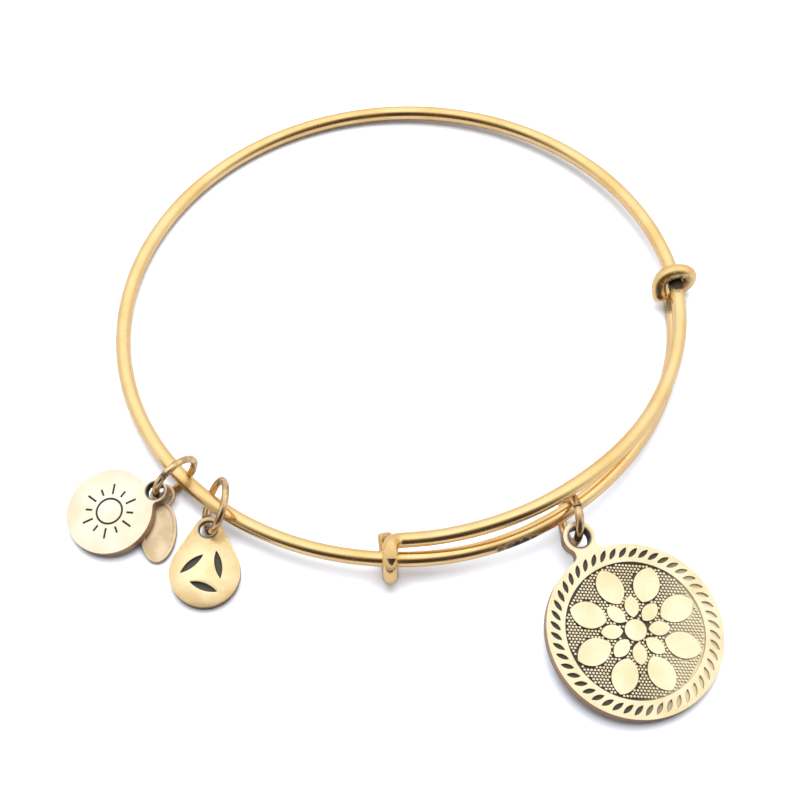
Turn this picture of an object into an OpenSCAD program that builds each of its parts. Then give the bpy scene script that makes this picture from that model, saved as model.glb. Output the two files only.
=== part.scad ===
/* [Wire] */
// Diameter of the round wire that the bangle is bent from
wire_d = 1.63; // [1.5:0.01:1.65]
// Half of the oval's longer axis, along the middle of the wire
oval_a = 30.94; // [30.8:0.02:31.1]
// Half of the oval's shorter axis, along the middle of the wire
oval_b = 29.09; // [29.0:0.01:29.2]
// Bearing of the longer axis
oval_turn = 4.4; // [0:0.2:8]
// Number of flat sides that stand for the wire's roundness
wire_sides = 14; // [10:2:16]

/* [Jump rings] */
// Middle radius of the ring that carries the round and the oval tag
tag_ring_r = 2.6; // [2.5:0.05:2.7]
// Middle radius of the ring that carries the teardrop
drop_ring_r = 2.75; // [2.7:0.05:2.8]
// Wire diameter of those two rings
ring_d = 0.8; // [0.7:0.05:0.85]
// Middle radius of the heavier ring that carries the medallion
big_ring_r = 2.5; // [2.4:0.05:2.6]
// Wire diameter of the heavier ring
big_ring_d = 0.9; // [0.8:0.05:0.95]
// Width of the cut where a ring was opened
ring_cut = 0.12; // [0.05:0.01:0.3]

/* [Medallion] */
// Radius of the medallion's face
medal_r = 9.24; // [9.0:0.02:9.3]
// Thickness of the medallion
medal_t = 1.3; // [1.1:0.05:1.4]
// Distance from the middle of the medallion to its hole
lug_reach = 11.15; // [10.9:0.05:11.2]
// Number of slanted slots in the rope border
rope_slots = 48; // [36:1:52]
// Radius of the sunk field inside the border
field_r = 7.3; // [6.8:0.1:7.4]
// Depth of the sunk field
field_depth = 0.3; // [0.2:0.05:0.5]
// Number of petals in each ring of the flower
petals = 8; // [6:1:10]

/* [Small charms] */
// Radius of the round tag
round_r = 4.7; // [4.6:0.01:4.8]
// Thickness of the round tag
round_t = 1.0; // [0.9:0.05:1.1]
// Half of the oval tag's width
oval_tag_w = 1.85; // [1.75:0.05:1.95]
// Half of the oval tag's length
oval_tag_l = 3.3; // [3.1:0.05:3.4]
// Thickness of the oval tag
oval_tag_t = 0.6; // [0.5:0.05:0.65]
// Radius of the teardrop's round end
drop_r = 3.71; // [3.6:0.01:3.8]
// Thickness of the teardrop in its middle
drop_t = 1.3; // [1.1:0.05:1.4]
// Depth of the sun that is cut into the round tag
sun_depth = 0.2; // [0.1:0.05:0.3]

/* [Colours] */
// Colour of the wire and the rings
gilt = "#cfa560"; // ["#cfa560", "#b8924f", "#dcc48a"]
// Colour of the charms
pale_gilt = "#dcc48a"; // ["#dcc48a", "#cfa560", "#b8924f"]

/* [Hidden] */

$fn = 64;

// The oval leans on the surface: height of its middle and rise per millimetre
rest_height = 1.975;
rise_x = 0.0245;
rise_y = -0.03;

// Where the hook grips the front strand and the coil grips the right one
hook_bearing = 267.8;
coil_bearing = 369;
// Bend radius between a strand and its hook or coil
end_bend = 1.3;
// Last wrap angle of the hook and length of its straight tip
hook_to = -125;
hook_tip = 2.4;
// Last wrap angle of the coil
coil_to = 562;
// Step along the strands and step round the hook and the coil
strand_step = 3.5;
wrap_step = 11;
// How far the table below is smoothed along the wire
smooth_reach = 6;

// Columns: bearing, distance outside the oval, height above its plane
BEARING = 0;
OUTWARD = 1;
LIFT = 2;
strand_table = [
    [260, -1.80, 0.80],
    [270, -1.68, 0.95],
    [278, -1.55, 1.45],
    [286, -1.34, 2.15],
    [293, -1.14, 2.75],
    [301, -0.98, 3.15],
    [309, -1.10, 3.10],
    [320, -1.10, 2.30],
    [330, -0.96, 1.55],
    [342, -0.73, 0.85],
    [354, -0.36, 0.35],
    [361, -0.10, 0.10],
    [366, 0, 0],
    [626, 0, 0],
    [638, 0.14, 0.05],
    [646, 0.12, 0.03],
    [654, 0.05, 0.03],
    [663, -0.16, 0],
    [672, -0.32, -0.10],
    [682, -0.62, -0.50],
    [693, -0.76, -1.00],
    [705, -0.77, -1.42],
    [716, -0.56, -1.65],
    [740, -0.50, -1.66]
];

// Columns: wrap angle, place along the wire, radius of the wrap
PLACE = 1;
REACH = 2;
hook_table = [
    [-125, -0.40, 1.82],
    [-60, -0.10, 1.80],
    [0, 0, 1.82],
    [60, 0, 1.87],
    [120, 0, 1.93]
];
coil_table = [
    [290, 0, 1.75],
    [450, 0, 1.75],
    [500, -0.10, 1.80],
    [525, -0.35, 1.90],
    [545, -0.90, 2.00],
    [562, -1.75, 2.05]
];

function unit(v) = v / norm(v);

function column(table, index) = [for (row = table) [row[BEARING], row[index]]];

function smooth(key, table, index) =
    let (
        pairs = column(table, index),
        reads = [for (k = [-3:3]) lookup(key + k * smooth_reach / 3, pairs)]
    )
    reads * [for (read = reads) 1] / len(reads);

// The oval itself: radius, place, direction of travel, and the directions across it
function oval_radius(t) =
    oval_a * oval_b / norm([oval_b * cos(t - oval_turn), oval_a * sin(t - oval_turn)]);

function oval_point(t) =
    let (x = oval_radius(t) * cos(t), y = oval_radius(t) * sin(t))
    [x, y, rest_height + rise_x * x + rise_y * y];

function along(t) = unit(oval_point(t + 0.5) - oval_point(t - 0.5));

function across(t) = unit(cross(along(t), [0, 0, 1]));

function above(t) = cross(across(t), along(t));

function beside(t, outward, lift) = oval_point(t) + outward * across(t) + lift * above(t);

// A strand of the wire at bearing t, which runs on past 360 for the second strand
function strand(t) = beside(t, smooth(t, strand_table, OUTWARD), smooth(t, strand_table, LIFT));

// A place on a wrap round the oval's line at bearing t
function wrapped(t, place, angle, reach) =
    beside(t, reach * cos(angle), reach * sin(angle)) + place * along(t);

function wrap_point(t, angle, table) =
    wrapped(t, lookup(angle, column(table, PLACE)), angle, lookup(angle, column(table, REACH)));

function bend_degrees() = end_bend / oval_b * 180 / PI;

// Hook: the strand turns down into a wrap round the front strand, then a straight tip
hook_start = hook_bearing + bend_degrees();
hook_offset = [smooth(hook_start, strand_table, OUTWARD), smooth(hook_start, strand_table, LIFT)];
hook_r = norm(hook_offset);
hook_from = atan2(hook_offset[1], hook_offset[0]);
hook_bend = end_bend / hook_r * 180 / PI;

function hook_point(angle) = wrap_point(hook_bearing, angle, hook_table);

hook_end_heading = unit(hook_point(hook_to) - hook_point(hook_to + 1));

hook_path = [
    for (length = [hook_tip, hook_tip - 0.18, hook_tip / 2, 0.3])
        hook_point(hook_to) + length * hook_end_heading,
    for (angle = [hook_to:wrap_step:hook_from - hook_bend - wrap_step / 2])
        hook_point(angle),
    for (turn = [90:-18:18])
        wrapped(hook_bearing, end_bend * (1 - sin(turn)),
            hook_from - hook_bend * (1 - cos(turn)), hook_r)
];

// Coil: the other end turns up from below into one turn round the right strand
coil_start = coil_bearing + 360 - bend_degrees();
coil_offset = [smooth(coil_start, strand_table, OUTWARD), smooth(coil_start, strand_table, LIFT)];
coil_r = norm(coil_offset);
coil_from = atan2(coil_offset[1], coil_offset[0]) + 360;
coil_bend = end_bend / coil_r * 180 / PI;

function coil_point(angle) = wrap_point(coil_bearing, angle, coil_table);

coil_end_heading = unit(coil_point(coil_to) - coil_point(coil_to - 4));

coil_path = [
    for (turn = [18:18:90])
        wrapped(coil_bearing, -end_bend * (1 - sin(turn)),
            coil_from + coil_bend * (1 - cos(turn)), coil_r),
    for (angle = [coil_from + coil_bend + wrap_step:wrap_step:coil_to])
        coil_point(angle),
    coil_point(coil_to) + 0.18 * coil_end_heading
];

wire_path = concat(
    hook_path,
    [for (t = [hook_start:strand_step:coil_start]) strand(t)],
    coil_path
);

// The wire is swept along its path with frames carried on from ring to ring
function heading(path, i) = unit(path[min(i + 1, len(path) - 1)] - path[max(i - 1, 0)]);

function square_to(v, direction) = unit(v - (v * direction) * direction);

function carried_frames(path) = [
    for (
        i = 0, side = square_to([0, 0, 1], heading(path, 0));
        i < len(path);
        i = i + 1, side = square_to(side, heading(path, min(i, len(path) - 1)))
    ) side
];

// A round wire with a small bevel at its two cut ends
module swept_wire(path, radius, sides) {
    frames = carried_frames(path);
    last = len(path) - 1;
    points = [
        for (i = [0:last])
            let (
                first_side = frames[i],
                second_side = cross(heading(path, i), first_side),
                r = (i == 0 || i == last) ? 0.78 * radius : radius
            )
            for (k = [0:sides - 1])
                let (a = 360 * k / sides)
                path[i] + r * (cos(a) * first_side + sin(a) * second_side)
    ];
    sides_of_tube = [
        for (i = [0:last - 1])
            for (k = [0:sides - 1])
                let (next = (k + 1) % sides)
                [i * sides + k, (i + 1) * sides + k, (i + 1) * sides + next, i * sides + next]
    ];
    start_cap = [for (k = [0:sides - 1]) k];
    end_cap = [for (k = [sides - 1:-1:0]) last * sides + k];
    polyhedron(points, concat([start_cap], sides_of_tube, [end_cap]), convexity = 10);
}

// A ring of round wire, cut once, that stands square to the direction (azimuth, lean)
module jump_ring(place, azimuth, lean, radius, d, cut_at) {
    gap = ring_cut / radius * 180 / PI;
    translate(place)
        rotate([0, 90 - lean, azimuth])
            rotate([0, 0, cut_at + gap / 2])
                rotate_extrude(angle = 360 - gap)
                    translate([radius, 0])
                        circle(d = d, $fn = 24);
}

// A pointed leaf, flat, that lies along x between two points
module leaf(length, width) {
    bow = (length * length / 4 + width * width / 4) / width;
    intersection() {
        translate([0, bow - width / 2])
            circle(bow);
        translate([0, width / 2 - bow])
            circle(bow);
    }
}

// A round plate with a small bevel round both faces
module bevelled_plate(radius, thickness, bevel) {
    rotate_extrude()
        polygon([
            [0, 0], [radius - bevel, 0], [radius, bevel],
            [radius, thickness - bevel], [radius - bevel, thickness], [0, thickness]
        ]);
}

// A through hole with a bevelled rim at both faces
module bevelled_hole(radius, thickness, bevel) {
    translate([0, 0, -1])
        cylinder(r = radius, h = thickness + 2);
    translate([0, 0, thickness - bevel])
        cylinder(r1 = radius, r2 = radius + 2 * bevel, h = 2 * bevel);
    translate([0, 0, -bevel])
        cylinder(r1 = radius + 2 * bevel, r2 = radius, h = 2 * bevel);
}

// The place of a charm: middle of its upper face, tilt, and bearing of its low side
module laid(place, tilt, low_bearing, turn) {
    translate(place)
        rotate([0, 0, low_bearing])
            rotate([0, tilt, 0])
                rotate([0, 0, turn - low_bearing])
                    children();
}

module bangle_wire() {
    color(gilt)
        swept_wire(wire_path, wire_d / 2, wire_sides);
}

module jump_ring_tags() {
    color(gilt)
        jump_ring([-23.89, -19.85, 3.01], -47, -1, tag_ring_r, ring_d, 206);
}

module jump_ring_drop() {
    color(gilt)
        jump_ring([-19.48, -23.09, 2.87], -4, -26.5, drop_ring_r, ring_d, -12);
}

module jump_ring_medallion() {
    color(gilt)
        jump_ring([17.63, -24.59, 2.90], 11.2, -13.2, big_ring_r, big_ring_d, 176);
}

// Medallion, with x towards its lug and its upper face at z = 0
lug_r = 1.7;
lug_hole_r = 1.1;
neck_w = 2.84;
rope_r = 8.28;
slot_length = 1.42;
slot_width = 0.46;
slot_slant = 41;
slot_depth = 0.3;
outer_petal = [3.9, 2.75, 5.05];
inner_petal = [2.3, 1.5, 2.5];
heart_r = 1.15;

module petal_ring(petal, turn) {
    for (k = [0:petals - 1])
        rotate([0, 0, turn + 360 * k / petals])
            translate([petal[2], 0])
                leaf(petal[0], petal[1]);
}

module flower() {
    circle(heart_r);
    petal_ring(outer_petal, 0);
    petal_ring(inner_petal, 180 / petals);
}

module rope_border() {
    for (k = [0:rope_slots - 1])
        rotate([0, 0, 360 * k / rope_slots])
            translate([rope_r, 0])
                rotate([0, 0, -slot_slant])
                    leaf(slot_length, slot_width);
}

module medallion() {
    color(pale_gilt)
        laid([23.72, -36.79, 2.64], 8.9, -27, 119.5)
            translate([0, 0, -medal_t])
                difference() {
                    union() {
                        bevelled_plate(medal_r, medal_t, 0.25);
                        translate([lug_reach, 0, 0])
                            bevelled_plate(lug_r, medal_t, 0.15);
                        translate([medal_r - 1, -neck_w / 2, 0])
                            cube([lug_reach - medal_r + 1, neck_w, medal_t]);
                    }
                    translate([lug_reach, 0, 0])
                        bevelled_hole(lug_hole_r, medal_t, 0.12);
                    translate([0, 0, medal_t - slot_depth])
                        linear_extrude(1)
                            rope_border();
                    translate([0, 0, medal_t - field_depth])
                        linear_extrude(1)
                            difference() {
                                circle(field_r);
                                flower();
                            }
                }
}

// Round tag, with x towards its eyelet: a small sun is cut into the face
eyelet_r = 1.3;
eyelet_hole_r = 0.92;
round_reach = 5.25;
sun_r = 1.5;
sun_line = 0.22;
sun_rays = 12;
ray_length = 1.15;

module sun() {
    difference() {
        circle(sun_r);
        circle(sun_r - sun_line);
    }
    for (k = [0:sun_rays - 1])
        rotate([0, 0, 360 * k / sun_rays])
            translate([sun_r + 0.4, -sun_line / 2])
                square([k % 2 == 0 ? ray_length : ray_length * 0.65, sun_line]);
}

module round_tag() {
    color(pale_gilt)
        laid([-30.73, -23.25, 1.92], 11, 204, 22)
            translate([0, 0, -round_t])
                difference() {
                    union() {
                        bevelled_plate(round_r, round_t, 0.18);
                        translate([round_reach, 0, 0])
                            bevelled_plate(eyelet_r, round_t, 0.12);
                    }
                    translate([round_reach, 0, 0])
                        bevelled_hole(eyelet_hole_r, round_t, 0.08);
                    translate([0, 0, round_t - sun_depth])
                        linear_extrude(1)
                            sun();
                }
}

// Oval tag, with x towards its eyelet: a plain face inside a low rim
oval_tag_reach = 4.03;
oval_rim = 0.35;
oval_points = 72;

module oval(half_l, half_w) {
    polygon([
        for (k = [0:oval_points - 1])
            [half_l * cos(360 * k / oval_points), half_w * sin(360 * k / oval_points)]
    ]);
}

module oval_tag() {
    color(pale_gilt)
        laid([-25.5, -25.25, 1.09], 8, 266.7, 86.7)
            translate([0, 0, -oval_tag_t])
                difference() {
                    union() {
                        linear_extrude(oval_tag_t)
                            oval(oval_tag_l, oval_tag_w);
                        translate([oval_tag_reach, 0, 0])
                            bevelled_plate(eyelet_r, oval_tag_t, 0.1);
                    }
                    translate([oval_tag_reach, 0, 0])
                        bevelled_hole(eyelet_hole_r, oval_tag_t, 0.06);
                    translate([0, 0, oval_tag_t - 0.12])
                        linear_extrude(1)
                            oval(oval_tag_l - oval_rim, oval_tag_w - oval_rim);
                }
}

// Teardrop, with x towards its hole: three leaves are cut into a domed face
drop_hole_r = 0.92;
drop_reach = 4.7;
drop_top_r = 1.45;
dome_r = 20;
drop_leaf = [3.1, 0.8, 1.6];
leaf_depth = 0.5;

// The sides run straight between the small and the large round end
module drop_outline() {
    meet = acos((drop_r - drop_top_r) / drop_reach);
    large_end = [for (a = [meet:(360 - 2 * meet) / 48:360 - meet + 0.1]) drop_r * [cos(a), sin(a)]];
    small_end = [
        for (a = [-meet:meet / 12:meet + 0.1])
            [drop_reach, 0] + drop_top_r * [cos(a), sin(a)]
    ];
    polygon(concat(large_end, small_end));
}

module three_leaves() {
    for (k = [0:2])
        rotate([0, 0, 120 * k])
            translate([-drop_leaf[2], 0])
                rotate([0, 0, 72])
                    leaf(drop_leaf[0], drop_leaf[1]);
}

module teardrop() {
    color(pale_gilt)
        laid([-20.4, -30.08, 1.94], 7.5, 268, 88)
            translate([0, 0, -drop_t])
                difference() {
                    intersection() {
                        linear_extrude(drop_t)
                            drop_outline();
                        translate([0, 0, drop_t - dome_r])
                            sphere(dome_r, $fn = 96);
                    }
                    translate([drop_reach, 0, -1])
                        cylinder(r = drop_hole_r, h = drop_t + 2);
                    translate([0, 0, drop_t - leaf_depth])
                        linear_extrude(1)
                            three_leaves();
                }
}

bangle_wire();
jump_ring_tags();
jump_ring_drop();
jump_ring_medallion();
medallion();
round_tag();
oval_tag();
teardrop();
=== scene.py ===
# %% [markdown]
# # A charm bangle in Blender
#
# The real thing is one springy brass wire, bent to an oval whose two ends wrap round each
# other's strand. Three small wire rings hang four charms on it. All of it could be drawn anew,
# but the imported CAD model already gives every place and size, so it is loaded first and never
# changed. The pieces below take the place of its nodes and add what solids leave out: truly
# round wire, soft rims, a dotted ground and patina.

# %% The frame and its box
from math import atan2, cos, pi, radians, sqrt

import bpy
from mathutils import Matrix, Vector


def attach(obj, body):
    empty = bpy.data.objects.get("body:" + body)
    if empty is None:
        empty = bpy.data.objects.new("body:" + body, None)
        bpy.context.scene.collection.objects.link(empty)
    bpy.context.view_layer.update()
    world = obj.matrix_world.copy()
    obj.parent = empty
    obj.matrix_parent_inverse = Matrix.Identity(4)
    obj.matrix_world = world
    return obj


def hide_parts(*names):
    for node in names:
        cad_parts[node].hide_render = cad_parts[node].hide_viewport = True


MM = 0.001
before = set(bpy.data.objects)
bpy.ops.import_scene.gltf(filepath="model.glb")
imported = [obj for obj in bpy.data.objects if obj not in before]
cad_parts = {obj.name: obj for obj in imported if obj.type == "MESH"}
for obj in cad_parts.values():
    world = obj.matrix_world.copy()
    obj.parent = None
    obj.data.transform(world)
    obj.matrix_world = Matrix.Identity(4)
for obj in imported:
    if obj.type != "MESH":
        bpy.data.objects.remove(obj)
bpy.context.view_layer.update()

# %% [markdown]
# Operators act on whatever is selected, which goes wrong easily in a long script. So small
# helpers keep the selection in hand: one makes a piece the only selected one, one goes into edit
# mode with faces selected by where they are and which way they look, and one adds a modifier,
# sets it and applies it, which leaves plain mesh behind.

# %% Selection and modifiers
def only(*pieces):
    bpy.ops.object.select_all(action="DESELECT")
    for piece in pieces:
        piece.select_set(True)
    bpy.context.view_layer.objects.active = pieces[0]


def edit_faces(piece, wanted):
    only(piece)
    bpy.ops.object.mode_set(mode="EDIT")
    bpy.ops.mesh.select_mode(type="FACE")
    bpy.ops.mesh.select_all(action="DESELECT")
    bpy.ops.object.mode_set(mode="OBJECT")
    for face in piece.data.polygons:
        face.select = wanted(face.center, face.normal)
    bpy.ops.object.mode_set(mode="EDIT")


def edit_all(piece):
    only(piece)
    bpy.ops.object.mode_set(mode="EDIT")
    bpy.ops.mesh.select_all(action="SELECT")


def back_to_object():
    bpy.ops.object.mode_set(mode="OBJECT")


def apply_modifier(piece, kind, **settings):
    only(piece)
    bpy.ops.object.modifier_add(type=kind)
    modifier = piece.modifiers[-1]
    for name, value in settings.items():
        setattr(modifier, name, value)
    bpy.ops.object.modifier_apply(modifier=modifier.name)


def name_piece(piece, name):
    piece.name = name
    piece.data.name = name
    return piece


# %% [markdown]
# A small piece could be modelled where it lies, but the bevel and boolean tools lose precision
# on very small numbers, and a tilted charm is hard to draw. So each piece is made on a bench,
# with one unit for one millimetre, and a charm lies flat at the origin. The finished piece is
# scaled down, tilted and moved to where the CAD model has it, all in one move that is then
# applied to the mesh. The object itself stays at the origin, unturned and unscaled.
#
# Nothing on this bangle turns in a bearing, so every piece rides on the root body. Each one also
# says which CAD node it takes the place of.

# %% From the bench to the bangle
def set_down(piece, place):
    piece.matrix_world = place @ Matrix.Diagonal((MM, MM, MM, 1))
    only(piece)
    bpy.ops.object.transform_apply(location=True, rotation=True, scale=True)


def stands_for(piece, node):
    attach(piece, "root")
    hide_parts(node)
    print(piece.name, "stands for", node, "with", len(piece.data.polygons), "faces")


# %% [markdown]
# ## The wire
#
# The wire runs once round and a little further, so that its ends pass each other between a hook
# and a coil. A bevelled curve could draw it, but the CAD model already sweeps it along that path
# with fourteen flat sides, and a second path would be one more place for an error. So the node's
# mesh is copied, its loose triangles are merged into a grid of quads, and a subdivision surface
# rounds it. A subdivided tube comes out thinner than its cage, so the cage is fattened first.

# %% A round wire from the CAD cage
WIRE_D = 1.63
CAGE_SIDES = 14
WELD = 0.000001

only(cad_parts["bangle_wire"])
bpy.ops.object.duplicate(linked=False)
wire = name_piece(bpy.context.object, "gilt_wire")
edit_all(wire)
bpy.ops.mesh.remove_doubles(threshold=WELD)
bpy.ops.mesh.tris_convert_to_quads(face_threshold=radians(25), shape_threshold=radians(70))
thinning = (1 - cos(2 * pi / CAGE_SIDES)) / 3
bpy.ops.transform.shrink_fatten(value=thinning * WIRE_D / 2 * MM)
back_to_object()
corners = [len(face.vertices) for face in wire.data.polygons]
print("wire cage:", corners.count(4), "quads and", corners.count(3), "triangles")
apply_modifier(wire, "SUBSURF", levels=2, render_levels=2)

# %% [markdown]
# Pliers have pressed the hook flat on top. A boolean with a block could cut that flat, but the
# block would also meet the strands beside the hook. A bisect takes a selection, so only the faces
# on top of the hook are cut: the round above the plane goes and the cut is filled. A fine bevel
# then breaks the flat's outline. The wire is brought up to bench size for all this. The three
# reaches below say how far from the hook's middle, how high over it and how far to each side of
# it a face may lie to be cut.

# %% The flat on the hook
HOOK_MIDDLE = Vector((-1.12, -29.08, 2.82))
FLAT_NORMAL = Vector((-0.02, -0.342, 0.94)).normalized()
FLAT_REACH = 2.3
HOOK_REACH, TOP_REACH, HOOK_HALF_WIDTH = 3.2, 1.6, 1.1


def on_top_of_hook(centre, normal):
    away = centre - HOOK_MIDDLE
    on_top = away.length < HOOK_REACH and away.dot(FLAT_NORMAL) > TOP_REACH
    return on_top and abs(away.x) < HOOK_HALF_WIDTH


wire.scale = (1 / MM, 1 / MM, 1 / MM)
only(wire)
bpy.ops.object.transform_apply(scale=True)
edit_faces(wire, on_top_of_hook)
bpy.ops.mesh.bisect(
    plane_co=HOOK_MIDDLE + FLAT_REACH * FLAT_NORMAL, plane_no=FLAT_NORMAL, use_fill=True,
    clear_outer=True
)
back_to_object()
apply_modifier(wire, "BEVEL", angle_limit=radians(22), width=0.07, segments=2)
print("wire with its flat:", len(wire.data.polygons), "faces")

# %% [markdown]
# The pliers' corner has also left a small three-sided dent in the flat. It could be a bump in the
# material, but its sharp outline shows, so it is cut. A cylinder with three sides is a prism, and
# it is leaned over until it stands square on the flat.

# %% The dent, and the wire in its place
DENT_SPOT = (-1.03, -30.24, 4.90)
DENT_R, DENT_HEIGHT, DENT_LEAN = 0.6, 0.9, -20

bpy.ops.object.select_all(action="DESELECT")
bpy.ops.mesh.primitive_cylinder_add(
    vertices=3, radius=DENT_R, depth=DENT_HEIGHT, location=DENT_SPOT,
    rotation=(radians(DENT_LEAN), 0, pi)
)
dent = bpy.context.object
apply_modifier(wire, "BOOLEAN", operation="DIFFERENCE", object=dent, solver="EXACT")
bpy.data.objects.remove(dent)
bpy.ops.object.shade_smooth_by_angle(angle=radians(25))
set_down(wire, Matrix.Identity(4))
stands_for(wire, "bangle_wire")

# %% [markdown]
# ## The jump rings
#
# A jump ring is one turn of round wire, sawn through once and closed with pliers, so a fine cut
# stays visible. It could be a bent cylinder, but a torus with one slice of its faces deleted is
# exactly that and is one step. The two holes are filled, and a small bevel takes the sharpness
# off the sawn ends. Each ring then stands on its edge where it passes through a charm's hole and
# under the wire. The middle of each cut is kept, because oxide gathers there.

# %% Three rings with a sawn cut
SLICES = 144
cut_middles = []


def spin_z(angle):
    return Matrix.Rotation(radians(angle), 4, "Z")


def lean_y(angle):
    return Matrix.Rotation(radians(angle), 4, "Y")


def jump_ring(name, node, spot, azimuth, lean, middle_r, thick, cut_at):
    bpy.ops.object.select_all(action="DESELECT")
    bpy.ops.mesh.primitive_torus_add(
        major_segments=SLICES, minor_segments=28, major_radius=middle_r, minor_radius=thick / 2
    )
    ring = name_piece(bpy.context.object, name)
    edit_faces(ring, lambda centre, normal: 0 < atan2(centre.y, centre.x) < 2 * pi / SLICES)
    bpy.ops.mesh.delete(type="FACE")
    bpy.ops.mesh.select_all(action="SELECT")
    bpy.ops.mesh.fill_holes(sides=0)
    back_to_object()
    apply_modifier(ring, "BEVEL", angle_limit=radians(60), width=0.05, segments=2)
    bpy.ops.object.shade_smooth_by_angle(angle=radians(40))
    to_spot = Matrix.Translation([v * MM for v in spot])
    place = to_spot @ spin_z(azimuth) @ lean_y(90 - lean) @ spin_z(cut_at)
    set_down(ring, place)
    cut_middles.append((place @ Vector((middle_r * MM, 0, 0))) / MM)
    stands_for(ring, node)
    return ring


rings = [
    jump_ring("tag_ring", "jump_ring_tags", spot=(-23.89, -19.85, 3.01), azimuth=-47, lean=-1,
              middle_r=2.6, thick=0.8, cut_at=206),
    jump_ring("drop_ring", "jump_ring_drop", spot=(-19.48, -23.09, 2.87), azimuth=-4,
              lean=-26.5, middle_r=2.75, thick=0.8, cut_at=-12),
    jump_ring("medal_ring", "jump_ring_medallion", spot=(17.63, -24.59, 2.90), azimuth=11.2,
              lean=-13.2, middle_r=2.5, thick=0.9, cut_at=176),
]

# %% [markdown]
# ## A charm's blank
#
# Every charm starts as a blank of plate. It could be traced as a curve and extruded, but the
# outlines are mostly circles and straight lines, so a blank is a sum of simple solids, and
# booleans suit that. A few helpers make and combine them. Booleans leave coplanar pieces on the
# faces, and a limited dissolve afterwards joins them into one, so that a bevel finds clean edges.

# %% Solids, sums and differences
def disc(radius, depth, x=0.0, y=0.0, top=0.0, sides=96):
    bpy.ops.object.select_all(action="DESELECT")
    bpy.ops.mesh.primitive_cylinder_add(
        vertices=sides, radius=radius, depth=depth, location=(x, y, top - depth / 2)
    )
    bpy.ops.object.transform_apply(location=True)
    return bpy.context.object


def block(x_from, x_to, width, depth, top=0.0):
    bpy.ops.object.select_all(action="DESELECT")
    bpy.ops.mesh.primitive_cube_add(size=1, location=((x_from + x_to) / 2, 0, top - depth / 2))
    bpy.context.object.scale = (x_to - x_from, width, depth)
    bpy.ops.object.transform_apply(location=True, scale=True)
    return bpy.context.object


def combine(piece, operation, *tools):
    for tool in tools:
        apply_modifier(piece, "BOOLEAN", operation=operation, object=tool, solver="EXACT")
        bpy.data.objects.remove(tool)
    return piece


def flatten_faces(piece):
    edit_all(piece)
    bpy.ops.mesh.dissolve_limited(angle_limit=radians(0.4))
    back_to_object()


def soften(piece, width, segments):
    apply_modifier(piece, "BEVEL", angle_limit=radians(50), width=width, segments=segments)


# %% [markdown]
# A round charm has a face, an eyelet, and a small curved neck between them. The neck could be
# bevelled out of the corner, but its curve is a circle that touches both discs, so its centre
# follows exactly from three radii. A block fills the corner and two cylinders cut the curve out
# of it. The block reaches a little into the face, so the sum has no hairline gap, and a cutter
# that goes right through reaches a little past both sides of the plate.

# %% A blank with an eyelet
PAST = 0.5
NECK_OVERLAP = 0.2


def blank(face_r, thick, eye_x, eye_r, curve_r, sides):
    to_face, to_eye = face_r + curve_r, eye_r + curve_r
    curve_x = (eye_x**2 + to_face**2 - to_eye**2) / (2 * eye_x)
    curve_y = sqrt(to_face**2 - curve_x**2)
    corner_y = curve_y * face_r / to_face
    corner_x = curve_x * face_r / to_face - NECK_OVERLAP
    eye_touch = eye_x + (curve_x - eye_x) * eye_r / to_eye
    neck = block(corner_x, eye_touch, 2 * corner_y, thick)
    for y in (curve_y, -curve_y):
        combine(neck, "DIFFERENCE", disc(curve_r, thick + 2 * PAST, curve_x, y, PAST, sides=48))
    plate = disc(face_r, thick, sides=sides)
    combine(plate, "UNION", neck, disc(eye_r, thick, eye_x, sides=64))
    flatten_faces(plate)
    return plate


# %% [markdown]
# What repeats round a charm is modelled once. An array with an object offset could turn the
# copies, but plain copies can be joined into one cutter at once: the helper copies the piece,
# turns the copies about the middle and joins them. A leaf is the overlap of two discs, which
# gives petals, the slots of a rope border and a cut motif from one shape.

# %% Copies round the middle, and a leaf
def around(piece, count, first=0.0):
    copies = []
    for k in range(count):
        only(piece)
        bpy.ops.object.duplicate(linked=False)
        bpy.context.object.rotation_euler.z = radians(first + 360 * k / count)
        copies.append(bpy.context.object)
    bpy.data.objects.remove(piece)
    only(*copies)
    bpy.ops.object.transform_apply(rotation=True)
    bpy.ops.object.join()
    return bpy.context.object


def bow_radius(length, width):
    return (length**2 + width**2) / (4 * width)


def leaf(length, width, depth, top, sides=128):
    bow = bow_radius(length, width)
    upper = disc(bow, depth, 0, width / 2 - bow, top, sides)
    return combine(upper, "INTERSECT", disc(bow, depth, 0, bow - width / 2, top, sides))


def moved(piece, x, slant=0.0):
    piece.matrix_world = Matrix.Translation((x, 0, 0)) @ spin_z(slant)
    only(piece)
    bpy.ops.object.transform_apply(location=True, rotation=True)
    return piece


# %% [markdown]
# ## The medallion
#
# The real one is cast: a thick disc with a rope border, a sunk round field and a raised flat
# motif in it, here a plain flower. The relief could be painted as a bump, but it throws shadows,
# so it is cut. The blank's rims are softened before the hole is bored, so that each bevel finds
# only its own edges. Then the field and the slanted slots of the rope are cut in, and a last
# fine bevel gives them the soft look of casting. The face is at height 0 and a cutter is 1 mm
# high, so the cutter's top is set at 1 mm less the depth of the cut.

# %% The medallion's blank and border
MEDAL_R, MEDAL_T = 9.24, 1.3
LUG_X, LUG_R, LUG_HOLE_R = 11.15, 1.7, 1.1
FIELD_R, FIELD_DEPTH = 7.3, 0.3
ROPE_SLOTS, ROPE_R = 48, 8.28
SLOT_LENGTH, SLOT_WIDTH, SLOT_SLANT = 1.46, 0.52, -41
CUTTER = 1.0


def bore(piece, radius, thick, x, sides=56):
    combine(piece, "DIFFERENCE", disc(radius, thick + 2 * PAST, x, top=PAST, sides=sides))


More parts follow.
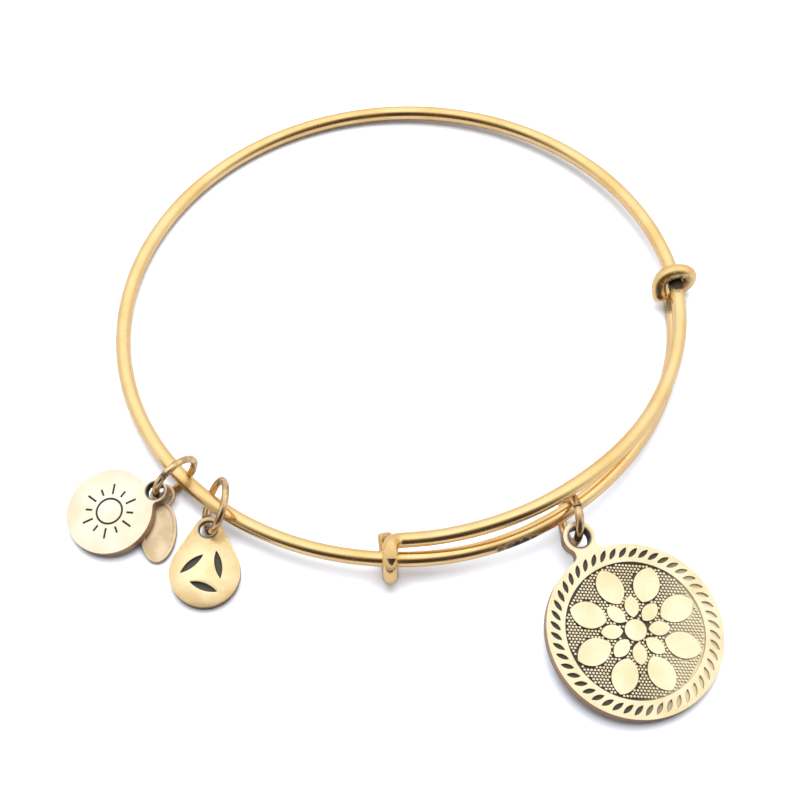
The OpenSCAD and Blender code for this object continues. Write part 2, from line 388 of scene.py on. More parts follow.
medallion = blank(MEDAL_R, MEDAL_T, LUG_X, LUG_R, curve_r=0.8, sides=192)
name_piece(medallion, "medallion_plate")
soften(medallion, width=0.34, segments=4)
bore(medallion, LUG_HOLE_R, MEDAL_T, LUG_X, sides=64)
soften(medallion, width=0.08, segments=2)
slot = leaf(SLOT_LENGTH, SLOT_WIDTH, CUTTER, CUTTER - FIELD_DEPTH)
rope = around(moved(slot, ROPE_R, SLOT_SLANT), ROPE_SLOTS)
field = disc(FIELD_R, CUTTER, top=CUTTER - FIELD_DEPTH, sides=160)
combine(medallion, "DIFFERENCE", rope, field)
soften(medallion, width=0.035, segments=2)
print("medallion plate:", len(medallion.data.polygons), "faces")

# %% [markdown]
# The petals stand on the sunk field with their tops level with the border. They could be left
# standing when the field is cut, but joining them afterwards is simpler. They reach a little way
# into the plate, so no gap can show under them.

# %% The raised flower
OUTER_PETAL = (3.9, 2.75, 5.05)
INNER_PETAL = (2.3, 1.5, 2.5)
HEART_R = 1.15
PETALS = 8
PETAL_HEIGHT = FIELD_DEPTH + 0.1


def petal_ring(petal, first):
    length, width, out = petal
    one = leaf(length, width, PETAL_HEIGHT, 0, sides=192)
    soften(one, width=0.05, segments=2)
    return around(moved(one, out), PETALS, first)


heart = disc(HEART_R, PETAL_HEIGHT, sides=64)
soften(heart, width=0.05, segments=2)
only(medallion, petal_ring(OUTER_PETAL, 0), petal_ring(INNER_PETAL, 180 / PETALS), heart)
bpy.ops.object.join()
print("medallion with its flower:", len(medallion.data.polygons), "faces")

# %% [markdown]
# Smooth shading runs over a soft rim, as on a cast and tumbled charm, but it must not run over
# the flat face, where it would draw streaks. Sharp marks could be set by hand at each edge. Here
# the faces that look straight up are shaded flat, and weighted normals let large faces win over
# the slivers of a bevel, which needs nothing marked by hand.

# %% Smooth rims and a flat face
def smooth_rims(piece):
    only(piece)
    bpy.ops.object.shade_smooth_by_angle(angle=radians(32))
    edit_faces(piece, lambda centre, normal: normal.z > 0.9999)
    bpy.ops.mesh.faces_shade_flat()
    back_to_object()
    apply_modifier(piece, "WEIGHTED_NORMAL", keep_sharp=True, weight=80)
    flat_faces = sum(not face.use_smooth for face in piece.data.polygons)
    print(piece.name, "has", flat_faces, "faces shaded flat")


smooth_rims(medallion)

# %% [markdown]
# The sunk field is filled with small round dots in a honeycomb. A texture could paint them, but
# each real dot catches its own light, so they are modelled. Two dots make the unit that repeats,
# and two array modifiers, one along and one across, fill a square with them. A dot is a low
# cylinder whose top is inset and raised to a crown, with no bottom.

# %% A square of dots
PITCH = 0.36
ROW = PITCH * sqrt(3) / 2
DOT_R, DOT_H, DOT_SIDES = 0.132, 0.22, 10
DOT_ROOT = 0.04


def dot(x, y):
    one = disc(DOT_R, DOT_H, x, y, DOT_H - FIELD_DEPTH - DOT_ROOT, DOT_SIDES)
    edit_faces(one, lambda centre, normal: normal.z > 0.9)
    bpy.ops.mesh.inset(thickness=DOT_R * 0.45, depth=0.03)
    back_to_object()
    edit_faces(one, lambda centre, normal: normal.z < -0.9)
    bpy.ops.mesh.delete(type="FACE")
    back_to_object()
    return one


columns = 2 * int(FIELD_R / PITCH) + 2
rows = int(FIELD_R / ROW) + 1
left, low = -columns / 2 * PITCH, -2 * (rows // 2) * ROW
dots = name_piece(dot(left, low), "medallion_dots")
only(dots, dot(left + PITCH / 2, low + ROW))
bpy.ops.object.join()
for count, offset in ((columns, (PITCH, 0, 0)), (rows, (0, 2 * ROW, 0))):
    apply_modifier(dots, "ARRAY", count=count, use_relative_offset=False,
                   use_constant_offset=True, constant_offset_displace=offset)
print("square of dots:", columns, "by", 2 * rows)

# %% [markdown]
# On the real charm the dots stop at the border and at the motif. A boolean could cut them off
# there, but half dots look torn. So every dot that isn't wholly on the open field is deleted.
# Each face looks up the middle of its own dot first, so a dot goes or stays as a whole. A petal
# is tested in its own frame, where it is the leaf lying along the X axis. A tenth of a dot's
# radius may hide under a petal, as in a cast piece, but the wall of the field stays clear.

# %% Only the dots on the open field
CLEAR_SHARE = 0.9
WALL_GAP = 0.04


def in_leaf(x, y, petal, margin):
    length, width, out = petal
    bow = bow_radius(length, width)
    return sqrt((x - out) ** 2 + (abs(y) + bow - width / 2) ** 2) < bow + margin


def on_open_field(x, y):
    margin = DOT_R * CLEAR_SHARE
    middle_out = sqrt(x * x + y * y)
    if middle_out > FIELD_R - margin - WALL_GAP or middle_out < HEART_R + margin:
        return False
    step = 2 * pi / PETALS
    bearing = atan2(y, x)
    for petal, first in ((OUTER_PETAL, 0), (INNER_PETAL, step / 2)):
        turn = first + step * round((bearing - first) / step)
        local = Matrix.Rotation(-turn, 2) @ Vector((x, y))
        if in_leaf(local.x, local.y, petal, margin):
            return False
    return True


def dot_middle(x, y):
    row = round(y / ROW)
    shift = PITCH / 2 if row % 2 else 0
    return round((x - shift) / PITCH) * PITCH + shift, row * ROW


edit_faces(dots, lambda centre, normal: not on_open_field(*dot_middle(centre.x, centre.y)))
bpy.ops.mesh.delete(type="FACE")
back_to_object()
bpy.ops.object.shade_smooth_by_angle(angle=radians(50))
print("dots on the field:", len(dots.data.polygons) // (2 * DOT_SIDES + 1))

# %% [markdown]
# The medallion leans on the floor at its lower edge and hangs in its ring at the lug. Three
# angles could be set by eye, but then the turn upsets the tilt. So a charm is placed by where it
# is, how steep it lies, in which direction its low side is, and which way its eyelet points.

# %% The medallion in its place
def laid(spot, tilt, low_bearing, turn):
    to_spot = Matrix.Translation([v * MM for v in spot])
    return to_spot @ spin_z(low_bearing) @ lean_y(tilt) @ spin_z(turn - low_bearing)


MEDAL_PLACE = laid((23.72, -36.79, 2.64), tilt=8.9, low_bearing=-27, turn=119.5)
for piece in (medallion, dots):
    set_down(piece, MEDAL_PLACE)
    stands_for(piece, "medallion")

# %% [markdown]
# ## The round tag
#
# A plain small disc with a motif struck into its face. It is the medallion's blank at another
# size, so the same helpers make it. The sun is a thin ring with twelve rays, long and short in
# turn. Engraving could be a bump, but its walls catch the light, so the three parts are cut.

# %% A disc with a struck sun
ROUND_R, ROUND_T, ROUND_EYE_X = 4.7, 1.0, 5.25
EYE_R, EYE_HOLE_R = 1.3, 0.92
SUN_R, SUN_LINE, SUN_TOP = 1.5, 0.22, CUTTER - 0.2
RAY_FROM, LONG_RAY_TO, SHORT_RAY_TO = SUN_R + 0.4, SUN_R + 1.55, SUN_R + 1.15

round_tag = blank(ROUND_R, ROUND_T, ROUND_EYE_X, EYE_R, curve_r=0.5, sides=144)
name_piece(round_tag, "round_tag_plate")
soften(round_tag, width=0.25, segments=4)
bore(round_tag, EYE_HOLE_R, ROUND_T, ROUND_EYE_X)
soften(round_tag, width=0.09, segments=2)

circle = disc(SUN_R, CUTTER, top=SUN_TOP)
combine(circle, "DIFFERENCE", disc(SUN_R - SUN_LINE, CUTTER + 2 * PAST, top=SUN_TOP + PAST))
long_rays = around(block(RAY_FROM, LONG_RAY_TO, SUN_LINE, CUTTER, SUN_TOP), 6)
short_rays = around(block(RAY_FROM, SHORT_RAY_TO, SUN_LINE, CUTTER, SUN_TOP), 6, 30)
combine(round_tag, "DIFFERENCE", circle, long_rays, short_rays)
soften(round_tag, width=0.02, segments=1)
smooth_rims(round_tag)
ROUND_PLACE = laid((-30.73, -23.25, 1.92), tilt=11, low_bearing=204, turn=22)
set_down(round_tag, ROUND_PLACE)
stands_for(round_tag, "round_tag")

# %% [markdown]
# ## The oval tag
#
# A small thin oval behind the round one, with a plain face inside a low rim. An inset could sink
# the face, but it would follow the eyelet's outline too. So a disc that is stretched before
# anything is cut gives the oval, and a smaller stretched disc cuts the face a little way down.

# %% An oval with a low rim
OVAL_T, OVAL_EYE_X = 0.6, 4.03
OVAL_FACE_TOP = CUTTER - 0.12


def oval(half_length, half_width, depth, top):
    piece = disc(1, depth, top=top)
    piece.scale = (half_length, half_width, 1)
    bpy.ops.object.transform_apply(scale=True)
    return piece


oval_tag = name_piece(oval(3.3, 1.85, OVAL_T, 0), "oval_tag_plate")
combine(oval_tag, "UNION", disc(EYE_R, OVAL_T, OVAL_EYE_X, sides=64))
flatten_faces(oval_tag)
soften(oval_tag, width=0.1, segments=3)
bore(oval_tag, EYE_HOLE_R, OVAL_T, OVAL_EYE_X)
combine(oval_tag, "DIFFERENCE", oval(2.95, 1.5, CUTTER, OVAL_FACE_TOP))
soften(oval_tag, width=0.04, segments=2)
smooth_rims(oval_tag)
OVAL_PLACE = laid((-25.5, -25.25, 1.09), tilt=8, low_bearing=266.7, turn=86.7)
set_down(oval_tag, OVAL_PLACE)
stands_for(oval_tag, "oval_tag")

# %% [markdown]
# ## The teardrop
#
# Its outline is a string pulled round two discs. A traced curve could give it, but a convex hull
# of the two discs is exactly that string. Its face is softly domed: the blank is intersected
# with a large ball. The ball is turned so that its poles lie at the sides, because the even
# faces of its equator shade better than a pole does.

# %% A domed drop
DROP_R, DROP_T = 3.71, 1.3
DROP_TIP_X, DROP_TIP_R = 4.7, 1.45
DOME_R = 20

teardrop = name_piece(disc(DROP_R, DROP_T, sides=128), "teardrop_plate")
only(teardrop, disc(DROP_TIP_R, DROP_T, DROP_TIP_X, sides=80))
bpy.ops.object.join()
edit_all(teardrop)
bpy.ops.mesh.convex_hull()
back_to_object()
flatten_faces(teardrop)

bpy.ops.object.select_all(action="DESELECT")
bpy.ops.mesh.primitive_uv_sphere_add(
    segments=160, ring_count=80, radius=DOME_R, location=(0, 0, -DOME_R),
    rotation=(pi / 2, 0, 0)
)
combine(teardrop, "INTERSECT", bpy.context.object)
soften(teardrop, width=0.2, segments=4)
print("domed drop:", len(teardrop.data.polygons), "faces")

# %% [markdown]
# Three long leaves are sunk into its face in a triangle. They could be drawn freely, but the
# leaf helper keeps the charms in one family. The hole is bored first, with a wide bevel, since
# its ring has worn it round.

# %% The drop's hole and its three leaves
LEAF_TOP = CUTTER - 0.5

bore(teardrop, EYE_HOLE_R, DROP_T, DROP_TIP_X)
soften(teardrop, width=0.14, segments=3)
cut_leaf = moved(leaf(3.1, 0.8, CUTTER, LEAF_TOP), -1.6, slant=72)
combine(teardrop, "DIFFERENCE", around(cut_leaf, 3))
soften(teardrop, width=0.04, segments=2)
bpy.ops.object.shade_smooth_by_angle(angle=radians(32))
DROP_PLACE = laid((-20.4, -30.08, 1.94), tilt=7.5, low_bearing=268, turn=88)
set_down(teardrop, DROP_PLACE)
stands_for(teardrop, "teardrop")

# %% [markdown]
# ## Finishes
#
# All of it is brass with an antique gilt: warm metal, rubbed bright on top, with dark oxide left
# in every hollow. Painted images could show that, but noise and distance formulas stay sharp at
# any size. Small helpers keep such node trees readable: they add a node with its settings and
# links, calculate, blend two colours, ramp smoothly between two values, and start a group with
# named sockets.

# %% Nodes
def add(tree, kind, sockets=(), **settings):
    node = tree.nodes.new(kind)
    for name, value in settings.items():
        setattr(node, name, value)
    for name, value in dict(sockets).items():
        if isinstance(value, bpy.types.NodeSocket):
            tree.links.new(value, node.inputs[name])
        else:
            node.inputs[name].default_value = value
    return node


def sums(tree, operation, a, b=0.0, c=0.0, clamp=False):
    node = add(tree, "ShaderNodeMath", {0: a, 1: b, 2: c}, operation=operation, use_clamp=clamp)
    return node.outputs[0]


def measure(tree, operation, a, b=(0.0, 0.0, 0.0)):
    node = add(tree, "ShaderNodeVectorMath", {0: a, 1: b}, operation=operation)
    return node.outputs["Value"]


def noise(tree, where, scale, detail, **more):
    sockets = {"Vector": where, "Scale": scale, "Detail": detail, **more}
    return add(tree, "ShaderNodeTexNoise", sockets).outputs[0]


def blend(tree, mask, a, b):
    node = add(tree, "ShaderNodeMix", {"Factor": mask, 6: a, 7: b}, data_type="RGBA")
    return node.outputs[2]


def ramp_between(tree, value, low, high):
    sockets = {"Value": value, "From Min": low, "From Max": high}
    node = add(tree, "ShaderNodeMapRange", sockets, interpolation_type="SMOOTHSTEP")
    return node.outputs["Result"]


def new_group(name, inputs, outputs):
    tree = bpy.data.node_groups.new(name, "ShaderNodeTree")
    for side, labels in (("INPUT", inputs), ("OUTPUT", outputs)):
        for label, kind in labels.items():
            kind = "NodeSocket" + kind
            tree.interface.new_socket(name=label, in_out=side, socket_type=kind)
    given = tree.nodes.new("NodeGroupInput").outputs
    result = tree.nodes.new("NodeGroupOutput").inputs
    return tree, given, result


# %% [markdown]
# Rubbed gilt is never one colour. One noise could break it up, but real wear has broad clouds
# and a fine mottle in them, so the first group mixes two noises and moves the colour between a
# bright and a worn tone. It also gives out a mask for the roughness, since worn places are
# duller.

# %% Group: cloudy gilt
FINER, FINE_SHARE = 9.0, 0.2

clouds, given, result = new_group(
    "Cloudy gilt",
    {"Vector": "Vector", "Bright": "Color", "Worn": "Color", "Size": "Float"},
    {"Color": "Color", "Worn places": "Float"},
)
broad = noise(clouds, given["Vector"], given["Size"], 3.0)
fine = noise(clouds, given["Vector"], sums(clouds, "MULTIPLY", given["Size"], FINER), 4.0)
broad_part = sums(clouds, "MULTIPLY", broad, 1 - FINE_SHARE)
both = sums(clouds, "MULTIPLY_ADD", fine, FINE_SHARE, broad_part)
worn = ramp_between(clouds, both, 0.36, 0.66)
clouds.links.new(worn, result["Worn places"])
clouds.links.new(blend(clouds, worn, given["Bright"], given["Worn"]), result["Color"])
print(clouds.name, "has", len(clouds.nodes), "nodes")

# %% [markdown]
# A charm is dipped dark and then rubbed, so oxide stays where the cloth can't reach. Ambient
# occlusion could find those places, but it costs many rays, so the second group measures them in
# the charm's own millimetres. There the face is at height 0, and whatever lies deeper inside the
# rim is a hollow. For a domed face the height is measured from the dome. The wall of the eyelet's
# hole and a ring round it are dark as well: partly oxide, partly painted shade for the deep hole.
# Towards the thin side less of the ground is kept dark.
#
# The group gives out two more masks, both painted shade: one grows across the face towards the
# rim, and one grows down the bevel and the side.

# %% Group: dark in the hollows
RAGGED_MM, THIN_LOSS = 0.05, -0.8

hollows, given, result = new_group(
    "Dark in the hollows",
    {"Vector": "Vector", "Rim": "Float", "Depth": "Float", "Dome": "Float", "Eye": "Vector",
     "Eye radius": "Float", "Thin side": "Vector", "Rim shade strength": "Float"},
    {"Mask": "Float", "Side shade": "Float", "Rim shade": "Float"},
)
place = add(hollows, "ShaderNodeSeparateXYZ", {"Vector": given["Vector"]}).outputs
flat = add(hollows, "ShaderNodeCombineXYZ", {"X": place["X"], "Y": place["Y"]}).outputs[0]
out = measure(hollows, "LENGTH", flat)
out_share = sums(hollows, "DIVIDE", out, given["Rim"])
inside = ramp_between(hollows, out, given["Rim"], sums(hollows, "SUBTRACT", given["Rim"], 0.1))

# The height over the face, over a dome where there is one, with a slightly ragged level.
sag = sums(hollows, "MULTIPLY", sums(hollows, "MULTIPLY", out, out), given["Dome"])
height = sums(hollows, "ADD", place["Z"], sag)
ragged = sums(hollows, "SUBTRACT", noise(hollows, given["Vector"], 3.0, 3.0), 0.5)
height = sums(hollows, "MULTIPLY_ADD", ragged, RAGGED_MM, height)
depth_share = sums(hollows, "DIVIDE", height, given["Depth"])

# The ground is dark, less so on the thin side, and so is a ring round the eyelet's hole, which is
# partly oxide and partly painted shade.
to_thin = measure(hollows, "DOT_PRODUCT", flat, given["Thin side"])
thin = ramp_between(hollows, sums(hollows, "DIVIDE", to_thin, given["Rim"]), 0.1, 0.8)
ground = ramp_between(hollows, depth_share, -1.0, -1.2)
kept = sums(hollows, "MULTIPLY_ADD", sums(hollows, "MULTIPLY", thin, ground), THIN_LOSS, 1.0)
deep = ramp_between(hollows, depth_share, -0.45, -0.95)
deep = sums(hollows, "MULTIPLY", sums(hollows, "MULTIPLY", deep, inside), kept)
to_eye = measure(hollows, "DISTANCE", flat, given["Eye"])
eye_oxide_and_shade = ramp_between(hollows, to_eye, sums(hollows, "MULTIPLY", given["Eye radius"], 1.34),
                   sums(hollows, "MULTIPLY", given["Eye radius"], 1.04))
hollows.links.new(sums(hollows, "MAXIMUM", deep, eye_oxide_and_shade), result["Mask"])

# Painted shade: darker across the face towards the rim, and down the bevel and the side.
face_to_rim_shade = ramp_between(hollows, out_share, 0.5, 1.05)
hollows.links.new(sums(hollows, "MULTIPLY", face_to_rim_shade, given["Rim shade strength"]), result["Rim shade"])
below = sums(hollows, "MULTIPLY", height, -2.0, clamp=True)
outside = sums(hollows, "SUBTRACT", 1.0, inside)
hollows.links.new(sums(hollows, "MULTIPLY", below, outside), result["Side shade"])
print(hollows.name, "has", len(hollows.nodes), "nodes")

# %% [markdown]
# The wire has no face to measure from. Its oxide sits where the strands rub and the polish never
# reaches, a few patches on it are painted shade, and each such place could be a material of its
# own. One group does for all of them: a patch with a ragged edge round a given point.

# %% Group: a patch for oxide and painted shade
RAGGEDNESS = 1.5

patch, given, result = new_group(
    "Oxide and shade patch",
    {"Vector": "Vector", "Middle": "Vector", "Reach": "Float", "Strength": "Float"},
    {"Mask": "Float"},
)
near = sums(patch, "DIVIDE", measure(patch, "DISTANCE", given["Vector"], given["Middle"]),
            given["Reach"])
ragged = sums(patch, "SUBTRACT", noise(patch, given["Vector"], 2.3, 6.0, Roughness=0.75), 0.5)
near = sums(patch, "MULTIPLY_ADD", ragged, RAGGEDNESS, near)
mask = sums(patch, "MULTIPLY", ramp_between(patch, near, 1.0, 0.4), given["Strength"])
patch.links.new(mask, result["Mask"])
print(patch.name, "has", len(patch.nodes), "nodes")

# %% [markdown]
# Tumbled metal has a very fine grain with a few scratches. Modelled, it would need millions of
# faces, so it is a bump. The height is a small noise plus a second one that is squeezed along
# one axis, which draws it out into scratches.

# %% Group: a fine grain
grain, given, result = new_group(
    "Fine grain", {"Vector": "Vector", "Size": "Float"}, {"Height": "Float"}
)
tumbled = noise(grain, given["Vector"], given["Size"], 5.0)
drawn = add(grain, "ShaderNodeVectorMath", {0: given["Vector"], 1: (1.0, 9.0, 1.0)},
            operation="MULTIPLY").outputs[0]
scratched = noise(grain, drawn, sums(grain, "MULTIPLY", given["Size"], 0.25), 2.0,
                  Distortion=0.6)
grain.links.new(sums(grain, "MULTIPLY_ADD", scratched, 0.4, tumbled), result["Height"])
print(grain.name, "has", len(grain.nodes), "nodes")

# %% [markdown]
# Each material starts from the piece's own coordinates. Object coordinates are metres in the
# bangle's frame, and a Mapping node of the texture type turns them into a charm's own
# millimetres. Metal and oxide could be two shaders in a mix, but one Principled shader is enough:
# oxide, and painted shade with it, makes it darker, duller and less metallic. A charm isn't
# wholly metallic either, because its flat face would turn nearly black wherever it mirrors
# something dark.

# %% A gilt material
GRAIN_SIZE, GRAIN_HEIGHT = 6.0, 0.00003
WIRE_METALLIC, CHARM_METALLIC, DARK_PLACES_LESS_METALLIC = 1.0, 0.88, -0.7
WORN_ROUGHER, DARK_PLACES_ROUGHER = 0.12, 0.25


def using(tree, group, **sockets):
    return add(tree, "ShaderNodeGroup", sockets, node_tree=group).outputs


def local_mm(tree, place):
    sockets = {
        "Vector": add(tree, "ShaderNodeTexCoord").outputs["Object"],
        "Location": place.to_translation(),
        "Rotation": place.to_euler(),
        "Scale": (MM, MM, MM),
    }
    return add(tree, "ShaderNodeMapping", sockets, vector_type="TEXTURE").outputs["Vector"]


def gilt(name, bright, worn, size, roughness, bump, oxide_and_shade_tone, place=Matrix.Identity(4),
         hollow=None, sides=None, patches=()):
    material = bpy.data.materials.new(name)
    material.use_nodes = True
    tree = material.node_tree
    shader = tree.nodes["Principled BSDF"].inputs
    where = local_mm(tree, place)
    tone = using(tree, clouds, Vector=where, Bright=(*bright, 1), Worn=(*worn, 1), Size=size)
    metal = tone["Color"]
    masks = [using(tree, patch, Vector=where, Middle=middle, Reach=reach, Strength=strength)[0]
             for middle, reach, strength in patches]
    if hollow:
        found = using(tree, hollows, Vector=where, **hollow)
        masks.append(found["Mask"])
    # Painted shade: the rim's bevel and the wall below it take darker tones from sides.
    if sides:
        rim_shade_tone, wall_shade_tone = ((*shade_tone, 1) for shade_tone in sides)
        metal = blend(tree, found["Rim shade"], metal, rim_shade_tone)
        metal = blend(tree, ramp_between(tree, found["Side shade"], 0.0, 0.12), metal, rim_shade_tone)
        metal = blend(tree, ramp_between(tree, found["Side shade"], 0.5, 0.9), metal, wall_shade_tone)
    # The dark masks hold oxide and painted shade alike.
    dark = masks[0]
    for mask in masks[1:]:
        dark = sums(tree, "MAXIMUM", dark, mask)
    rough = sums(tree, "MULTIPLY_ADD", tone["Worn places"], WORN_ROUGHER, roughness)
    rough = sums(tree, "MULTIPLY_ADD", dark, DARK_PLACES_ROUGHER, rough)
    metallic = sums(tree, "MULTIPLY_ADD", dark, DARK_PLACES_LESS_METALLIC,
                    CHARM_METALLIC if hollow else WIRE_METALLIC)
    height = using(tree, grain, Vector=where, Size=GRAIN_SIZE)[0]
    relief = add(tree, "ShaderNodeBump",
                 {"Height": height, "Strength": bump, "Distance": GRAIN_HEIGHT})
    tree.links.new(blend(tree, dark, metal, (*oxide_and_shade_tone, 1)), shader["Base Color"])
    tree.links.new(rough, shader["Roughness"])
    tree.links.new(metallic, shader["Metallic"])
    tree.links.new(relief.outputs[0], shader["Normal"])
    return material


def finish_in(material, *pieces):
    for piece in pieces:
        piece.data.materials.clear()
        piece.data.materials.append(material)
    print(material.name, "on", [piece.name for piece in pieces])


# %% [markdown]
# The wire is the yellowest metal, with a satin shine. Its oxide sits in the coil, in the hook's
# dent, in a speck on the right strand, and in a smear where the medallion's ring slides to and
# fro. Painted shade darkens it under the coil and at the hook's tip. One long patch would look
# like a stripe, so the smear is a row of round ones. The rings are browner and more worn, and
# dark at their cuts. A patch is given by its middle and its reach, both in mm, and its strength.

# %% The finish of the wire and the rings
# One dark brown for oxide and for painted shade alike.
OXIDE_AND_SHADE_BROWN = (0.04, 0.025, 0.017)
# The first two patches are oxide in the coil, the third is painted shade under it.
coil_oxide_and_shade_under_it = [
    ((30.75, 4.1, 3.2), 1.9, 1.0),
    ((30.4, 4.75, 4.75), 0.45, 0.8),
    ((30.0, 1.9, 1.6), 1.2, 0.8),
]
front_smear = [
    ((10.2, -28.2, 3.3), 0.6, 0.8),
    ((11.2, -28.0, 3.3), 0.8, 0.9),
    ((12.1, -27.7, 3.15), 1.0, 1.0),
    ((12.9, -27.4, 3.1), 1.0, 1.0),
    ((13.8, -27.0, 3.1), 0.8, 0.9),
]
right_speck = [((28.9, -8.9, 4.0), 0.5, 0.6)]
# Oxide in the hook's dent, then painted shade at the hook's tip.
hook_dent_oxide_and_tip_shade = [((-1.02, -30.09, 4.42), 0.66, 1.0), ((-1.6, -26.5, 3.2), 0.7, 0.6)]

finish_in(
    gilt("satin gilt wire", bright=(0.98, 0.72, 0.35), worn=(0.92, 0.63, 0.26), size=0.25,
         roughness=0.17, bump=0.1, oxide_and_shade_tone=OXIDE_AND_SHADE_BROWN,
         patches=coil_oxide_and_shade_under_it + front_smear + right_speck + hook_dent_oxide_and_tip_shade),
    wire,
)
finish_in(
    gilt("gilt ring", bright=(0.92, 0.69, 0.38), worn=(0.50, 0.32, 0.15), size=0.8,
         roughness=0.17, bump=0.15, oxide_and_shade_tone=OXIDE_AND_SHADE_BROWN,
         patches=[(middle, 0.72, 0.9) for middle in cut_middles]),
    *rings,
)

# %% [markdown]
# The charms are paler than the wire, the round tag most of all, and the oval tag is dull and
# brownish. Each could have its own node tree, but they differ only in tones and measures, so one
# function makes all four. The two tones in sides are painted shade, on the rim and on the wall
# below it.

# %% The finish of the charms
CHARCOAL = (0.045, 0.041, 0.032)
DULL_BROWN = (0.25, 0.15, 0.07)
# Painted shade tones for the rims and for the walls below them.
RIM_SHADE_GOLD, WALL_SHADE_BROWN = (0.47, 0.29, 0.09), (0.40, 0.26, 0.17)
TAG_RIM_SHADE_GOLD = (0.52, 0.34, 0.12)
DROP_RIM_SHADE_GOLD, DROP_WALL_SHADE_BROWN = (0.52, 0.31, 0.10), (0.30, 0.17, 0.07)

finish_in(
    gilt("pale gilt medallion", bright=(0.89, 0.79, 0.55), worn=(0.82, 0.70, 0.43), size=0.25,
         roughness=0.3, bump=0.15, oxide_and_shade_tone=CHARCOAL, place=MEDAL_PLACE,
         hollow={"Rim": 8.98, "Depth": 0.24, "Eye": (LUG_X, 0, 0), "Eye radius": LUG_HOLE_R,
                 "Thin side": (-0.64, -0.77, 0), "Rim shade strength": 0.12},
         sides=(RIM_SHADE_GOLD, WALL_SHADE_BROWN)),
    medallion, dots,
)
finish_in(
    gilt("pale gilt round tag", bright=(0.91, 0.86, 0.72), worn=(0.86, 0.78, 0.58), size=0.25,
         roughness=0.32, bump=0.15, oxide_and_shade_tone=CHARCOAL, place=ROUND_PLACE,
         hollow={"Rim": 4.45, "Depth": 0.2, "Eye": (ROUND_EYE_X, 0, 0),
                 "Eye radius": EYE_HOLE_R, "Rim shade strength": 0.15},
         sides=(TAG_RIM_SHADE_GOLD, WALL_SHADE_BROWN)),
    round_tag,
)
finish_in(
    gilt("pale gilt oval tag", bright=(0.77, 0.62, 0.41), worn=(0.63, 0.48, 0.29), size=0.4,
         roughness=0.32, bump=0.15, oxide_and_shade_tone=DULL_BROWN, place=OVAL_PLACE,
         hollow={"Rim": 3.2, "Depth": 0.4, "Eye": (OVAL_EYE_X, 0, 0),
                 "Eye radius": EYE_HOLE_R}),
    oval_tag,
)
finish_in(
    gilt("worn gilt teardrop", bright=(0.91, 0.77, 0.48), worn=(0.82, 0.65, 0.34), size=0.3,
         roughness=0.22, bump=0.2, oxide_and_shade_tone=CHARCOAL, place=DROP_PLACE,
         hollow={"Rim": 3.4, "Depth": 0.24, "Dome": 1 / (2 * DOME_R),
                 "Eye": (DROP_TIP_X, 0, 0), "Eye radius": EYE_HOLE_R, "Rim shade strength": 0.35},
         sides=(DROP_RIM_SHADE_GOLD, DROP_WALL_SHADE_BROWN)),
    teardrop,
)

# %% [markdown]
# ## The stage
#
# Jewellery is photographed on white under a broad soft light. The floor is a plain matt sheet
# that the light brings to white. A sheet that bright would burn out the underside of every
# strand, so rays that were mirrored by metal meet a darker grey. A light path node tells them
# apart, which keeps both looks in one material.

# %% The white sheet
bpy.ops.object.select_all(action="DESELECT")
bpy.ops.mesh.primitive_plane_add(size=4, location=(0, 0, -0.00002))
floor = name_piece(bpy.context.object, "white_sheet")
sheet = bpy.data.materials.new("matt white sheet")
sheet.use_nodes = True
matt = sheet.node_tree.nodes["Principled BSDF"].inputs
matt["Roughness"].default_value = 0.9
mirrored = add(sheet.node_tree, "ShaderNodeLightPath").outputs["Is Glossy Ray"]
paper = blend(sheet.node_tree, mirrored, (0.86, 0.89, 0.94, 1), (0.40, 0.39, 0.42, 1))
sheet.node_tree.links.new(paper, matt["Base Color"])
floor.data.materials.append(sheet)
print("floor:", floor.name, "under", sheet.name)

# %% [markdown]
# One large soft lamp hangs above and behind, so the shadows are faint and fall forwards. The sky
# alone could light the scene, but then nothing would throw a shadow to one side. Metal would
# show the lamp as a hard square, so it is hidden from mirrored rays and only throws light.

# %% The lamp
LAMP_SPOT = Vector((0.0, 0.22, 0.7))

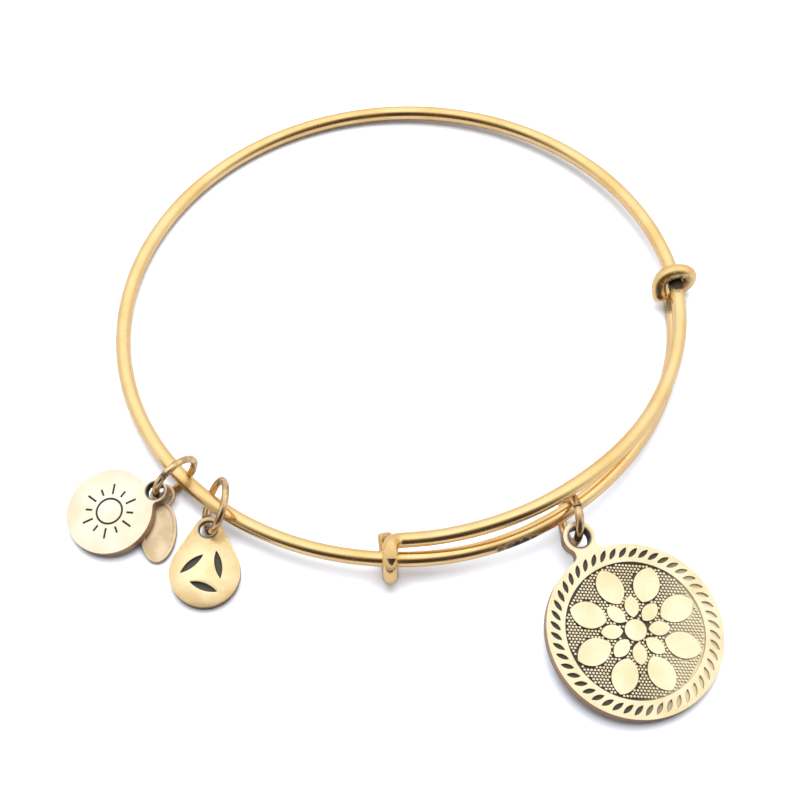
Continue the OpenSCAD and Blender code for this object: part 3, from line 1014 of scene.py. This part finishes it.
bpy.ops.object.light_add(type="AREA", location=LAMP_SPOT)
lamp = bpy.context.object
lamp.name = "ceiling_box"
lamp.data.size = 0.7
lamp.data.energy = 10.0
lamp.data.color = (0.98, 0.98, 1.0)
lamp.rotation_euler = (-LAMP_SPOT).to_track_quat("-Z", "Y").to_euler()
lamp.visible_glossy = False
print("lamp:", lamp.data.energy, "W,", lamp.data.size, "m wide")

# %% [markdown]
# What gives wire its shape is what it mirrors. An image of a studio could stand round it, but a
# few ramps over the direction do the same and need no file: walls that grow brighter up to the
# ceiling, one large dark patch in front, where the camera and the room are, which draws the brown
# line along each strand, and pale ground below the horizon. The camera itself sees plain white
# beyond the floor.

# %% The surroundings
WALL_LOW, CEILING = (0.76, 0.76, 0.80, 1), (1.34, 1.33, 1.33, 1)
DARK_PATCH, PALE_GROUND = (0.06, 0.042, 0.035, 1), (0.85, 0.85, 0.88, 1)
WHITE = (1.0, 1.0, 1.0, 1)
TO_DARK_PATCH = (0, -0.97, 0.24)

world = bpy.data.worlds.new("studio")
bpy.context.scene.world = world
world.use_nodes = True
studio = world.node_tree
look = add(studio, "ShaderNodeTexCoord").outputs["Generated"]
up = add(studio, "ShaderNodeSeparateXYZ", {"Vector": look}).outputs["Z"]
front = measure(studio, "DOT_PRODUCT", look, TO_DARK_PATCH)
room = blend(studio, ramp_between(studio, up, -0.1, 1.2), WALL_LOW, CEILING)
room = blend(studio, ramp_between(studio, front, 0.25, 0.85), room, DARK_PATCH)
room = blend(studio, ramp_between(studio, up, -0.04, -0.12), room, PALE_GROUND)
seen = add(studio, "ShaderNodeLightPath").outputs["Is Camera Ray"]
studio.links.new(blend(studio, seen, room, WHITE), studio.nodes["Background"].inputs["Color"])
bpy.context.scene.view_settings.view_transform = "Standard"
print("surroundings:", world.name, "with", len(studio.nodes), "nodes")

# %% [markdown]
# The camera looks down at 62 degrees from about 200 mm away. A long lens from afar would be
# simpler, but this close the near side of the bangle is drawn larger than the far side, as in
# the picture that the model follows.

# %% The camera
bpy.ops.object.camera_add(
    location=(-0.17 * MM, -102.90 * MM, 176.59 * MM), rotation=(radians(90 - 62), 0, 0)
)
camera = bpy.context.object
camera.data.lens = 82.04
camera.data.sensor_width = 36
camera.data.clip_start = 0.01
bpy.context.scene.camera = camera
print("camera:", round(camera.location.length / MM), "mm away")
